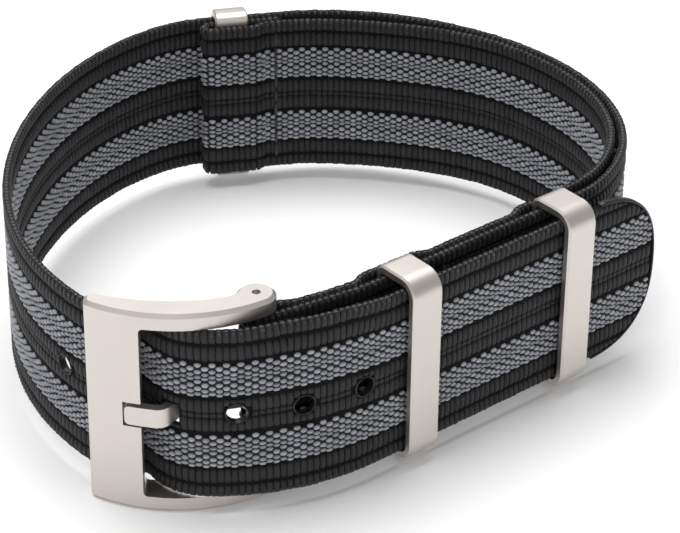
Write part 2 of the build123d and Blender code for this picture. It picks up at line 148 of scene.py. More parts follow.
# %% [markdown]
# The buckle end comes first. The webbing leaves the loop under the buckle's bar, bends up
# through the window beside the bar and runs straight on as the tail. The bar lies between two
# arcs, so its radii and a few bends give the whole line, and no point is placed by eye.
# %% The buckle's bar and pin
FRAME_OUTER, FRAME_INNER, FRAME_DEPTH = 16.6, 20.7, 3.2
LEAN_SHARE, WINDOW_SHARE = 0.048, 0.199
PIN_ANGLE, BOSS_RADIUS = 35.2, 2.05
LIP, UNDER_BAR = 0.5, 0.5
frame_centre = place(-0.431, -0.552)
bar_shift = np.array((-LEAN_SHARE * FRAME_OUTER, FRAME_INNER - FRAME_OUTER + FRAME_DEPTH))
bar_centre = frame_centre + bar_shift
pin = frame_centre + toward(PIN_ANGLE - 90) * (FRAME_OUTER - BOSS_RADIUS)
window_x = frame_centre[0] - WINDOW_SHARE * FRAME_OUTER
lip_angle = degrees(asin((bar_centre[0] - window_x + LIP) / (FRAME_INNER + LIP)))
under_bar_radius = FRAME_INNER - UNDER_BAR - HALF
print("pin at", pin.round(2), "lip at", round(lip_angle, 1), "degrees")

# %% The tail's line
ENTRY_ANGLE, WINDOW_ANGLE, WINDOW_BEND = 19.0, 59.5, 7.0
TAIL_ANGLE, TAIL_BEND = 40.0, 26.2
NEAR_KEEPER, KEEPER_SPACING, PAST_FAR_KEEPER = 5.9, 22.0, 12.9
tail_start = bar_centre + toward(-90 - ENTRY_ANGLE) * under_bar_radius
under_bar = bend(tail_start, -ENTRY_ANGLE, under_bar_radius, ENTRY_ANGLE - lip_angle)
round_lip = bend(under_bar[-1], -lip_angle, LIP + UNDER_BAR + HALF, lip_angle - WINDOW_ANGLE)
out_of_window = bend(round_lip[-1], -WINDOW_ANGLE, WINDOW_BEND, WINDOW_ANGLE)
over_pin = bend(out_of_window[-1], 0.0, TAIL_BEND, TAIL_ANGLE)
tail_length = NEAR_KEEPER + KEEPER_SPACING + PAST_FAR_KEEPER
tail_run = straight(over_pin[-1], over_pin[-1] + toward(TAIL_ANGLE) * tail_length)
tail_line = run_together(under_bar, round_lip, out_of_window, over_pin, tail_run)
near_foot = over_pin[-1] + toward(TAIL_ANGLE) * NEAR_KEEPER
print("tail", round(length_of(tail_line), 1), "mm")

# %% [markdown]
# At its other end the webbing is folded round the spring bar and sewn to itself. It then runs
# straight behind the tail, under both keepers. Two small helpers give a point in the fold's own
# frame and one along the run, so that every layer is placed by its distance and its inset.
# %% The folded end
RUN_INSET, BULGE, POCKET = 3.15, 1.8, 3.2
FOLD_RADIUS, FOLD_FLAT, WRAP_ANGLE = 1.46, 5.0, 70.0
RUN_BEND, RUN_BEND_DISTANCE, PAST_KEEPER = 30.0, 5.0, 3.5
LEAD_IN, FLAP_LENGTH, FLAP_GAP, FLAP_LIFT = 1.9, 1.3, 0.5, 0.07


def run_point(distance, inset):
    """A point along the run from the near keeper, and inwards from the tail."""
    return near_foot + toward(TAIL_ANGLE) * distance + left(TAIL_ANGLE) * inset


run_bend = run_point(-RUN_BEND_DISTANCE, RUN_INSET)
fold_chord = run_bend - pin
fold_heading = heading_of(fold_chord) + degrees(asin(FOLD_RADIUS / np.linalg.norm(fold_chord)))


def fold_point(distance, offset):
    """A point in the fold's own frame, with the pin as its origin."""
    return pin + toward(fold_heading) * distance + left(fold_heading) * offset


return_offset = LAYER_STEP - FOLD_RADIUS
pocket_start = run_point(-POCKET, RUN_INSET + BULGE)
flap_end = float((pocket_start - pin) @ toward(fold_heading)) - LEAD_IN
fold_end = flap_end - (FLAP_LENGTH + FLAP_GAP)
fold_flat = straight(fold_point(fold_end, return_offset), fold_point(FOLD_FLAT, return_offset))
wrap_start = pin + toward(fold_heading + WRAP_ANGLE) * FOLD_RADIUS
wrap_heading = fold_heading + (WRAP_ANGLE + 90)
fold_closing = smooth([fold_flat[-1], wrap_start], -toward(fold_heading), toward(wrap_heading))
fold_wrap = bend(wrap_start, wrap_heading, FOLD_RADIUS, 360 - 90 - WRAP_ANGLE)
print("fold heading", round(fold_heading, 2), "fold end", round(fold_end, 3))

# %% The inner run
run_turn = TAIL_ANGLE - fold_heading
tangent_length = RUN_BEND * (1 - cos(radians(run_turn))) / sin(radians(run_turn))
fold_run = straight(fold_wrap[-1], run_bend - toward(fold_heading) * tangent_length)
run_arc = bend(fold_run[-1], fold_heading, RUN_BEND, run_turn)
inner_run = straight(run_arc[-1], run_point(KEEPER_SPACING + PAST_KEEPER, RUN_INSET))
print("inner run", round(length_of(inner_run), 1), "mm, turned by", round(run_turn, 2), "degrees")

# %% [markdown]
# Round the wrist the webbing is soft and takes a shape of its own. Its places are shares of the
# loop's size, as in the part's source, and one cubic curve goes through them on each side. It
# is straight only where the back keeper holds it.
# %% Round the wrist
RING_HEADING, BEFORE_RING, PAST_RING = 192.0, 7.0, 3.2
RIGHT_SHARES = ((1.0, 0.158), (0.828, 0.631), (0.431, 0.9126), (0.1427, 0.989))
LEFT_SHARES = ((-0.699, 0.77), (-0.942, 0.38), (-1.018, -0.055), (-0.931, -0.5), (-0.741, -0.79))
ring_foot = place(-0.3456, 0.9426)
tail_way, ring_way = toward(TAIL_ANGLE), toward(RING_HEADING)


def ring_point(distance, inset):
    """A point in the back keeper's frame, along the long strap and inwards from its line."""
    return ring_foot + toward(RING_HEADING) * distance + left(RING_HEADING) * inset


right_side = smooth([inner_run[-1], *[place(*shares) for shares in RIGHT_SHARES],
                     ring_point(-BEFORE_RING, 0)], tail_way, ring_way)
through_ring = straight(right_side[-1], ring_point(PAST_RING, 0))
left_side = smooth([through_ring[-1], *[place(*shares) for shares in LEFT_SHARES], tail_start],
                   ring_way, toward(-ENTRY_ANGLE))
long_line = run_together(fold_flat, fold_closing, fold_wrap, fold_run, run_arc, inner_run,
                         right_side, through_ring, left_side, tail_line)
before_tail = length_of(long_line) - length_of(tail_line)
print("long strap", round(length_of(long_line), 1), "mm")

# %% [markdown]
# The short strap lies inside the long one. It rises over each keeper's inner band to make its
# pocket, follows the long strap at small, uneven gaps, and is folded back through the back
# keeper. A rise is the same cubic curve between two flats.
# %% The short strap by the keepers
RUN_LOW, RUN_HIGH, RISE = RUN_INSET + LAYER_STEP, RUN_INSET + BULGE, 2.0
flap = straight(fold_point(flap_end - FLAP_LENGTH, return_offset),
                fold_point(flap_end, return_offset + FLAP_LIFT))
near_flat = straight(pocket_start, run_point(POCKET, RUN_HIGH))
far_flat = straight(run_point(KEEPER_SPACING - POCKET, RUN_HIGH),
                    run_point(KEEPER_SPACING + POCKET, RUN_HIGH))
lead_in = smooth([flap[-1], near_flat[0]], toward(heading_of(flap[-1] - flap[0])), tail_way)
near_fall = smooth([near_flat[-1], run_point(POCKET + RISE, RUN_LOW)], tail_way, tail_way)
between = straight(near_fall[-1], run_point(KEEPER_SPACING - POCKET - RISE, RUN_LOW))
far_rise = smooth([between[-1], far_flat[0]], tail_way, tail_way)
print("pockets", round(length_of(near_flat), 1), "and", round(length_of(far_flat), 1), "mm")

# %% The short strap round the wrist and back
# A share of the way along the long strap's right side, and the gap between the straps there.
GAPS = ((0.1, 0.6), (0.22, 0.35), (0.36, 0.15), (0.5, 0.15), (0.64, 0.3), (0.78, 1.2), (0.88, 1.5))
RETURN_INSET, HALF_BAR, RING_RISE = 1.2, 2.55, 1.6
RING_FOLD_END, RING_FLAT_START = 6.3, 6.36
guides = []
for share, gap in GAPS:
    spot, angle = along(right_side, share * length_of(right_side))
    guides.append(spot + left(angle) * (WEBBING_THICKNESS + gap))
free_run = smooth([far_flat[-1], *guides, ring_point(-RING_FLAT_START, RETURN_INSET + LAYER_STEP)],
                  tail_way, ring_way)
ring_flat = straight(free_run[-1], ring_point(-HALF_BAR - RING_RISE, RETURN_INSET + LAYER_STEP))
ring_rise = smooth([ring_flat[-1], ring_point(-HALF_BAR, RETURN_INSET + BULGE)],
                   ring_way, ring_way)
inside_ring = straight(ring_rise[-1], ring_point(HALF_BAR, RETURN_INSET + BULGE))
ring_turn = bend(inside_ring[-1], RING_HEADING, BULGE / 2, -180.0)
ring_return = straight(ring_turn[-1], ring_point(-RING_FOLD_END, RETURN_INSET))
short_line = run_together(flap, lead_in, near_flat, near_fall, between, far_rise, far_flat,
                          free_run, ring_flat, ring_rise, inside_ring, ring_turn, ring_return)
print("short strap", round(length_of(short_line), 1), "mm")

# %% [markdown]
# Webbing looks flat but is not: stout cross threads make a rib every 0.72 mm, and the long
# threads pass over two of them at a time, so the grey stripes are fields of small oval bumps.
# A bump map would do for a distant view. Real bumps also catch the light at grazing angles and
# give the edge its beads, so they are geometry, all from two small shapes that Geometry Nodes
# repeat.
# %% Helpers for node trees
def new_tree(name, inputs):
    """A Geometry Nodes tree with a geometry going in and out, and named inputs."""
    tree = bpy.data.node_groups.new(name, "GeometryNodeTree")
    sockets = tree.interface
    sockets.new_socket(name="Geometry", in_out="INPUT", socket_type="NodeSocketGeometry")
    for label, kind in inputs:
        sockets.new_socket(name=label, in_out="INPUT", socket_type="NodeSocket" + kind)
    sockets.new_socket(name="Geometry", in_out="OUTPUT", socket_type="NodeSocketGeometry")
    return tree, tree.nodes.new("NodeGroupInput"), tree.nodes.new("NodeGroupOutput")


def connect(tree, value, socket):
    """Links a socket's value, or sets a plain one."""
    if isinstance(value, bpy.types.NodeSocket):
        tree.links.new(value, socket)
    elif value is not None:
        socket.default_value = value


def add(tree, kind, settings=None, **wires):
    """A node with its settings, and each named input linked or set."""
    node = tree.nodes.new(kind)
    for key, value in (settings or {}).items():
        setattr(node, key, value)
    for key, value in wires.items():
        sockets = [s for s in node.inputs if s.name.replace(" ", "_") == key and s.enabled]
        connect(tree, value, sockets[0])
    return node


def only(node):
    """The output that the node's settings leave switched on."""
    return [socket for socket in node.outputs if socket.enabled][0]


def figure(tree, operation, first, second=None, third=None):
    """One step of arithmetic on numbers."""
    node = tree.nodes.new("ShaderNodeMath")
    node.operation = operation
    for value, socket in zip((first, second, third), node.inputs):
        connect(tree, value, socket)
    return node.outputs[0]


def arrow(tree, operation, first, second=None, scale=None):
    """One step of arithmetic on vectors."""
    node = tree.nodes.new("ShaderNodeVectorMath")
    node.operation = operation
    connect(tree, first, node.inputs[0])
    connect(tree, second, node.inputs[1])
    if scale is not None:
        connect(tree, scale, node.inputs["Scale"])
    return node.outputs[0]


# %% A shape from rings
def shape_object(name, rings, crown=None):
    """Rings of points joined in turn, closed underneath and above, as an object."""
    work = bmesh.new()
    rows = [[work.verts.new(point) for point in ring] for ring in rings]
    for lower, upper in zip(rows, rows[1:]):
        for i, vert in enumerate(lower):
            j = (i + 1) % len(lower)
            work.faces.new((vert, lower[j], upper[j], upper[i]))
    work.faces.new(rows[0][::-1])
    if crown is None:
        work.faces.new(rows[-1])
    else:
        top = work.verts.new(crown)
        for i, vert in enumerate(rows[-1]):
            work.faces.new((vert, rows[-1][(i + 1) % len(rows[-1])], top))
    for face in work.faces:
        face.smooth = True
    mesh = bpy.data.meshes.new(name)
    work.to_mesh(mesh)
    work.free()
    # How deep each corner lies below the crest goes along into every copy, for the painted shade
    # between the bumps.
    depths = [min(1.0, max(0.0, 1.0 - vert.co.z)) for vert in mesh.vertices]
    mesh.attributes.new("depth", "FLOAT", "POINT").data.foreach_set("value", depths)
    return bpy.data.objects.new(name, mesh)


# %% Two small shapes: an oval button and a rib
# Both are one unit high and stand on a foot that is sunk into the core.
FOOT = -0.25
OVAL_SIDES, SHOULDER_WIDTH, SHOULDER_RISE = 8, 0.8, 0.6
RIB_SECTION = ((1, 0), (0.6, 0.68), (0, 1), (-0.6, 0.68), (-1, 0))
# Place along the rib, width and rise: highest in the middle, falling slowly to round ends.
RIB_PROFILE = ((-1, 0.8, 0.02), (-0.75, 0.95, 0.5), (-0.35, 1, 0.92),
               (0.35, 1, 0.92), (0.75, 0.95, 0.5), (1, 0.8, 0.02))


def oval(width, height):
    turns = [2 * pi * i / OVAL_SIDES for i in range(OVAL_SIDES)]
    return [(width * cos(turn), width * sin(turn), height) for turn in turns]


def rib_ring(across, width, rise):
    """One cross-section of a rib: low at both sides and round on top."""
    return [(x * width, across, z * rise if z > 0 else FOOT) for x, z in RIB_SECTION]


thread_button = shape_object("thread_button", [oval(1, FOOT), oval(SHOULDER_WIDTH, SHOULDER_RISE)],
                             (0, 0, 1))
thread_bar = shape_object("thread_bar", [rib_ring(*numbers) for numbers in RIB_PROFILE])
print("shape faces", len(thread_button.data.polygons), len(thread_bar.data.polygons))


# %% The weave tree
def weave_tree():
    """Bumps at a pitch along every row of a guide, facing out from a strap on its edge."""
    tree, inp, out = new_tree("Weave", [
        ("Pitch", "Float"), ("Out", "Vector"), ("Reach", "Float"), ("Variation", "Float"),
        ("Shape", "Object"), ("Finish", "Material"), ("Seed", "Int")])
    give = inp.outputs
    rows = add(tree, "GeometryNodeMeshToCurve", Mesh=give["Geometry"])
    spots = add(tree, "GeometryNodeCurveToPoints", {"mode": "LENGTH"},
                Curve=rows.outputs["Curve"], Length=give["Pitch"])
    # Out is (1, 0, 0) or (-1, 0, 0) for the two faces and (0, 1, 0) or (0, -1, 0) for the edges.
    side = arrow(tree, "CROSS_PRODUCT", (0, 0, 1), spots.outputs["Tangent"])
    out_by = add(tree, "ShaderNodeSeparateXYZ", Vector=give["Out"])
    upward = add(tree, "ShaderNodeCombineXYZ", Z=out_by.outputs["Y"])
    sideways = arrow(tree, "SCALE", side, scale=out_by.outputs["X"])
    facing = arrow(tree, "ADD", sideways, upward.outputs[0])
    moved = add(tree, "GeometryNodeSetPosition", Geometry=spots.outputs["Points"],
                Offset=arrow(tree, "SCALE", facing, scale=give["Reach"]))
    turned = add(tree, "FunctionNodeAxesToRotation",
                 {"primary_axis": "Z", "secondary_axis": "X"},
                 Primary_Axis=facing, Secondary_Axis=spots.outputs["Tangent"])
    # Each bump has its row's own size, a little larger or smaller.
    row_size = add(tree, "GeometryNodeInputNamedAttribute", {"data_type": "FLOAT_VECTOR"},
                   Name="row_size")
    less = figure(tree, "SUBTRACT", 1.0, give["Variation"])
    more = figure(tree, "ADD", 1.0, give["Variation"])
    low = add(tree, "ShaderNodeCombineXYZ", X=less, Y=less, Z=less)
    high = add(tree, "ShaderNodeCombineXYZ", X=more, Y=more, Z=1.0)
    size = add(tree, "FunctionNodeRandomValue", {"data_type": "FLOAT_VECTOR"},
               Min=low.outputs[0], Max=high.outputs[0], Seed=give["Seed"])
    shape = add(tree, "GeometryNodeObjectInfo", Object=give["Shape"])
    bumps = add(tree, "GeometryNodeInstanceOnPoints", Points=moved.outputs[0],
                Instance=shape.outputs["Geometry"], Rotation=turned.outputs[0],
                Scale=arrow(tree, "MULTIPLY", only(size), only(row_size)))
    # Half of a bump's tone comes from its row and half is its own.
    row_tone = add(tree, "GeometryNodeInputNamedAttribute", {"data_type": "FLOAT"},
                   Name="row_tone")
    own_tone = add(tree, "FunctionNodeRandomValue", {"data_type": "FLOAT"}, Seed=give["Seed"])
    both = figure(tree, "ADD", only(row_tone), only(own_tone))
    toned = add(tree, "GeometryNodeStoreNamedAttribute",
                {"data_type": "FLOAT", "domain": "INSTANCE"}, Geometry=bumps.outputs[0],
                Name="tone", Value=figure(tree, "MULTIPLY", both, 0.5))
    solid = add(tree, "GeometryNodeRealizeInstances", Geometry=toned.outputs[0])
    coated = add(tree, "GeometryNodeSetMaterial", Geometry=solid.outputs[0],
                 Material=give["Finish"])
    tree.links.new(coated.outputs[0], out.inputs["Geometry"])
    return tree


WEAVE = weave_tree()
print("weave nodes", len(WEAVE.nodes))


# %% What a tree makes of a guide
def run_tree(tree, guide, name, finish, inputs):
    """The tree's result as an object with a plain mesh and one finish; the guide is removed."""
    bpy.context.collection.objects.link(guide)
    step = guide.modifiers.new("tree", "NODES")
    step.node_group = tree
    inputs = {"Finish": finish, **inputs}
    for item in tree.interface.items_tree:
        if item.item_type == "SOCKET" and item.in_out == "INPUT" and item.name in inputs:
            step[item.identifier] = inputs[item.name]
    evaluated = guide.evaluated_get(bpy.context.evaluated_depsgraph_get())
    mesh = bpy.data.meshes.new_from_object(evaluated)
    bpy.data.objects.remove(guide)
    mesh.name = name
    # The realized mesh starts with an empty slot, so its one finish moves into the first.
    mesh.materials.clear()
    mesh.materials.append(finish)
    mesh.polygons.foreach_set("material_index", [0] * len(mesh.polygons))
    thing = bpy.data.objects.new(name, mesh)
    bpy.context.collection.objects.link(thing)
    print(name, len(mesh.polygons), "faces", [slot.name for slot in mesh.materials])
    return thing


# %% [markdown]
# Nylon thread is smooth but spun from hundreds of filaments, so it has a soft sheen, small
# differences in tone from bump to bump, and no sharp highlight. The tone number that the tree
# gave each bump moves its colour a little, and a fine stretched noise stands for the filaments.
# Between the bumps little light gets in, so painted shade darkens the colour with the depth below
# the crest.
# %% Helpers for materials
def new_finish(name):
    """A new material with its Principled shader and a coordinate node."""
    material = bpy.data.materials.new(name)
    material.use_nodes = True
    tree = material.node_tree
    return material, tree, tree.nodes["Principled BSDF"], tree.nodes.new("ShaderNodeTexCoord")


def noise(tree, coordinates, scale, detail=3.0, stretch=(1, 1, 1)):
    mapping = tree.nodes.new("ShaderNodeMapping")
    mapping.inputs["Scale"].default_value = stretch
    tree.links.new(coordinates, mapping.inputs["Vector"])
    texture = tree.nodes.new("ShaderNodeTexNoise")
    texture.inputs["Scale"].default_value = scale
    texture.inputs["Detail"].default_value = detail
    tree.links.new(mapping.outputs[0], texture.inputs["Vector"])
    return texture.outputs["Fac"]


def ramp(tree, value, stops):
    """Colours by a value; the two ends come first, as the node starts with two."""
    node = tree.nodes.new("ShaderNodeValToRGB")
    elements = node.color_ramp.elements
    for number, (position, colour) in enumerate(stops):
        element = elements[number] if number < 2 else elements.new(position)
        element.position = position
        element.color = (*colour, 1)
    connect(tree, value, node.inputs["Fac"])
    return node.outputs["Color"]


def relief(tree, shader, value, distance, strength):
    bump = tree.nodes.new("ShaderNodeBump")
    bump.inputs["Distance"].default_value = distance
    bump.inputs["Strength"].default_value = strength
    connect(tree, value, bump.inputs["Height"])
    tree.links.new(bump.outputs["Normal"], shader.inputs["Normal"])


def carried(tree, name):
    """A number that the mesh carries under a name."""
    node = tree.nodes.new("ShaderNodeAttribute")
    node.attribute_name = name
    return node.outputs["Fac"]


# %% Thread finishes
PATCH_SCALE, FILAMENT_SCALE, FILAMENT_STRETCH = 260.0, 9000.0, (1, 1, 0.35)
FILAMENT_RELIEF, TONE_SHARE = 0.04 * MM, 0.6


def thread_finish(name, dark, light, roughness, sheen, painted_shade=0.5):
    """Colour by the bump's own tone and a broad noise, with painted shade that makes it darker down
    between the bumps.
    """
    material, tree, shader, where = new_finish(name)
    patches = noise(tree, where.outputs["Object"], PATCH_SCALE)
    mixed = figure(tree, "MULTIPLY_ADD", carried(tree, "tone"), TONE_SHARE,
                   figure(tree, "MULTIPLY", patches, 1 - TONE_SHARE))
    # Painted shade: the colour darkens with each corner's depth below the crest.
    painted_shade_factor = figure(tree, "MULTIPLY_ADD", carried(tree, "depth"), -painted_shade, 1.0)
    colour = arrow(tree, "SCALE", ramp(tree, mixed, [(0.15, dark), (0.85, light)]),
                   scale=painted_shade_factor)
    tree.links.new(colour, shader.inputs["Base Color"])
    shader.inputs["Roughness"].default_value = roughness
    shader.inputs["Sheen Weight"].default_value = sheen
    shader.inputs["Sheen Roughness"].default_value = 0.4
    shader.inputs["Specular IOR Level"].default_value = 0.35
    filaments = noise(tree, where.outputs["Object"], FILAMENT_SCALE, 2.0, FILAMENT_STRETCH)
    relief(tree, shader, filaments, FILAMENT_RELIEF, 0.7)
    return material


GREY_THREAD = thread_finish("grey_thread", (0.25, 0.258, 0.284), (0.50, 0.517, 0.56),
                            roughness=0.62, sheen=0.25, painted_shade=0.4)
BLACK_THREAD = thread_finish("black_thread", (0.010, 0.010, 0.0115), (0.027, 0.027, 0.030),
                             roughness=0.6, sheen=0.08, painted_shade=0.75)
# The edge beads are the same black nylon as the ribs; their lighter colour is a painted highlight
# where the rounded edges catch the light from above.
EDGE_THREAD_PAINTED_HIGHLIGHT = thread_finish("edge_thread", (0.035, 0.035, 0.038), (0.085, 0.085, 0.09),
                            roughness=0.6, sheen=0.2)
print("threads:", GREY_THREAD.name, BLACK_THREAD.name, EDGE_THREAD_PAINTED_HIGHLIGHT.name)

# %% The ground between the bumps
GREY_CENTRE, GREY_HALF = 4.33, 1.6
CROSSING_ALONG, CROSSING_UP = 0.36, 0.3
GROUND_BLACK, GROUND_CROSSED, GROUND_GREY = (
    (0.004, 0.004, 0.0045), (0.009, 0.009, 0.010), (0.034, 0.035, 0.040))
STRIPE_SHARE = 0.7


def core_finish():
    """A fine criss-cross, nearly black, and dark grey in the two stripes."""
    material, tree, shader, where = new_finish("webbing_ground")
    parts = tree.nodes.new("ShaderNodeSeparateXYZ")
    tree.links.new(where.outputs["UV"], parts.inputs[0])
    distance, height = parts.outputs["X"], parts.outputs["Y"]
    over = figure(tree, "SINE", figure(tree, "MULTIPLY", distance, 2 * pi / CROSSING_ALONG))
    under = figure(tree, "SINE", figure(tree, "MULTIPLY", height, 2 * pi / CROSSING_UP))
    level = figure(tree, "MULTIPLY_ADD", figure(tree, "MULTIPLY", over, under), 0.5, 0.5)
    from_stripe = figure(tree, "SUBTRACT", figure(tree, "ABSOLUTE", height), GREY_CENTRE)
    in_stripe = figure(tree, "LESS_THAN", figure(tree, "ABSOLUTE", from_stripe), GREY_HALF)
    tint = figure(tree, "MULTIPLY_ADD", level, 1 - STRIPE_SHARE,
                  figure(tree, "MULTIPLY", in_stripe, STRIPE_SHARE))
    colour = ramp(tree, tint, [(0.0, GROUND_BLACK), (1.0, GROUND_GREY),
                               (1 - STRIPE_SHARE, GROUND_CROSSED)])
    tree.links.new(colour, shader.inputs["Base Color"])
    shader.inputs["Roughness"].default_value = 0.85
    shader.inputs["Specular IOR Level"].default_value = 0.12
    relief(tree, shader, level, 0.06 * MM, 0.8)
    return material


WEBBING_GROUND = core_finish()
print("ground:", WEBBING_GROUND.name, "in stripes", 2 * GREY_HALF, "mm wide")

# %% [markdown]
# The tail has a row of punched holes, and the tongue stands in one of them. That hole's place
# follows from the window's bend, where the webbing meets the tongue, and the others lie one
# pitch apart on both sides of it.
# %% The punched holes
HOLE_RADIUS, HOLE_PITCH, TONGUE_DIP = 1.1, 7.0, 1.15
HOLES_TOWARD_LOOP, HOLES_TOWARD_TIP = 2, 3
tongue_turn = degrees(acos(1 - TONGUE_DIP / WINDOW_BEND))
to_tongue_hole = (length_of(under_bar) + length_of(round_lip) + length_of(out_of_window)
                  - radians(tongue_turn) * WINDOW_BEND)
hole_places = []
for step in range(-HOLES_TOWARD_LOOP, HOLES_TOWARD_TIP + 1):
    distance = before_tail + to_tongue_hole + step * HOLE_PITCH
    hole_places.append((step, *along(long_line, distance)))
print("holes at", [(step, spot.round(1).tolist()) for step, spot, angle in hole_places])

# %% [markdown]
# Webbing is soft and isn't cut exactly. Between the buckle's window and the near keeper the
# tail's upper edge runs a little higher than elsewhere, and the tip is a little fuller than a
# half circle. Each is one short formula of the distance along the strap, so that the core and
# every row of the weave can follow it.
# %% The tail's upper edge and its tip
# Distances past the tongue's hole, and how much higher the edge is there.
LIFT_PLACES, LIFTS = (-7, -1, 7, 12, 19, 24), (0, 0.26, 0.28, 0.75, 0.65, 0)
TIP = WEBBING_WIDTH / 2
TIP_POWER = 2.5


def edge_lift(distance):
    """How much higher the webbing's upper edge runs at a distance along the long strap."""
    from_hole = distance - (before_tail + to_tongue_hole)
    return float(np.interp(from_hole, LIFT_PLACES, LIFTS))


def lift_at(distance, height):
    """The lift at a height above the webbing's middle: all of it at the top, none at the foot."""
    return edge_lift(distance) * (height + TIP) / WEBBING_WIDTH


def tip_half(past):
    """Half the webbing's width, a distance past the point where its tip starts to round."""
    share = min(1.0, max(0.0, past / TIP))
    return TIP * (1 - share**TIP_POWER) ** (1 / TIP_POWER)


print("largest lift", max(LIFTS), "mm, tip at half way", round(2 * tip_half(TIP / 2), 2), "mm wide")

# %% [markdown]
# The core is the webbing without its bumps: 0.48 mm thick with rounded edges, closed all round,
# and cut by the punched holes. Its cross-section is drawn once and stood at every point of the
# line. Each corner keeps its distance along and across the strap as a UV, so that a pattern
# follows the webbing round its bends.
# %% The core's cross-section
CORE_HALF, CORE_EDGE, BEAD_ROOM = 0.24, 0.2, 0.2
CORE_TALL = WEBBING_WIDTH / 2 - BEAD_ROOM
CORNERS, CORNER_POINTS = ((1, -1), (1, 1), (-1, 1), (-1, -1)), 4
LEAST_CORE, EDGE_SHARE = 0.2, 0.9


def core_section(half_height):
    """Points (across the thickness, up the width) round one cross-section."""
    edge = min(CORE_EDGE, half_height * EDGE_SHARE)
    section = []
    for corner, (sx, sy) in enumerate(CORNERS):
        for step in range(CORNER_POINTS):
            turn = radians(-90 + 90 * corner + 90 / (CORNER_POINTS - 1) * step)
            section.append((sx * (CORE_HALF - CORE_EDGE) + CORE_EDGE * cos(turn),
                            sy * (half_height - edge) + edge * sin(turn)))
    return section


print("points round the core", len(core_section(CORE_TALL)))

# %% The core's mesh
TIP_STATIONS, TIP_SHORT = 26, 0.05


def core_mesh(name, line, is_long):
    """A closed strip of webbing along a line; the long one has a round tip and a lifted edge."""
    run = distances_on(line)
    total = run[-1]
    stations = list(run)
    if is_long:
        turns = np.linspace(0, pi / 2 - TIP_SHORT, TIP_STATIONS)
        stations = [d for d in stations if d < total - TIP]
        stations += [total - TIP + TIP * sin(turn) for turn in turns]
    verts, faces, marks = [], [], []
    ways = np.gradient(line, run, axis=0)
    for distance in stations:
        spot = [np.interp(distance, run, line[:, axis]) for axis in (0, 1)]
        way = np.array([np.interp(distance, run, ways[:, axis]) for axis in (0, 1)])
        way /= np.linalg.norm(way)
        past = max(0.0, distance - total + TIP) if is_long else 0.0
        half_height = max(LEAST_CORE, tip_half(past) - TIP + CORE_TALL)
        for thick, high in core_section(half_height):
            lift = lift_at(distance, high) if is_long else 0.0
            verts.append(((spot[0] - way[1] * thick) * MM, (spot[1] + way[0] * thick) * MM,
                          (STRAP_MIDDLE + high + lift) * MM))
            marks.append((distance, high))
    ring = len(CORNERS) * CORNER_POINTS
    for station in range(len(stations) - 1):
        for i in range(ring):
            a, b = station * ring + i, station * ring + (i + 1) % ring
            faces.append((a + ring, b + ring, b, a))
    faces.append(tuple(range(ring)))
    faces.append(tuple(range(len(verts) - ring, len(verts)))[::-1])
    mesh = bpy.data.meshes.new(name)
    mesh.from_pydata(verts, [], faces)
    layer = mesh.uv_layers.new(name="weave")
    for loop in mesh.loops:
        layer.data[loop.index].uv = marks[loop.vertex_index]
    for polygon in mesh.polygons:
        polygon.use_smooth = True
    mesh.materials.append(WEBBING_GROUND)
    return bpy.data.objects.new(name, mesh)


def faces_outward(thing):
    work = bmesh.new()
    work.from_mesh(thing.data)
    bmesh.ops.recalc_face_normals(work, faces=work.faces)
    work.to_mesh(thing.data)
    work.free()


# %% Cutters for the holes
CUTTER_CORNER_STEPS, CUTTER_REACH = 10, 1.5


def oblong(length, height, corner):
    """An outline with round corners; with corners of half its size it is a circle."""
    points = []
    for number, (sx, sz) in enumerate(((1, 1), (-1, 1), (-1, -1), (1, -1))):
        for step in range(CUTTER_CORNER_STEPS):
            turn = radians(90 * number + 90 * step / CUTTER_CORNER_STEPS)
            points.append((sx * (length / 2 - corner) + corner * cos(turn),
                           sz * (height / 2 - corner) + corner * sin(turn)))
    return points


def drill(name, spot, angle, outline, height, reach=CUTTER_REACH):
    """A closed cutter of an outline, square to a strap that heads along an angle."""
    way, side = toward(angle), left(angle)
    verts = []
    for depth in (-reach, reach):
        for x, z in outline:
            x, y = spot + way * x + side * depth
            verts.append((x * MM, y * MM, (height + z) * MM))
    count = len(outline)
    faces = [(i, (i + 1) % count, count + (i + 1) % count, count + i) for i in range(count)]
    faces += [tuple(range(count))[::-1], tuple(range(count, 2 * count))]
    mesh = bpy.data.meshes.new(name)
    mesh.from_pydata(verts, [], faces)
    thing = bpy.data.objects.new(name, mesh)
    faces_outward(thing)
    return thing


def cut(thing, cutters):
    """Takes every cutter away from the thing's mesh."""
    for cutter in cutters:
        bpy.context.collection.objects.link(cutter)
        step = thing.modifiers.new("cut", "BOOLEAN")
        step.operation, step.solver, step.object = "DIFFERENCE", "EXACT", cutter
    evaluated = thing.evaluated_get(bpy.context.evaluated_depsgraph_get())
    flat = bpy.data.meshes.new_from_object(evaluated)
    thing.modifiers.clear()
    thing.data = flat
    for cutter in cutters:
        bpy.data.objects.remove(cutter)


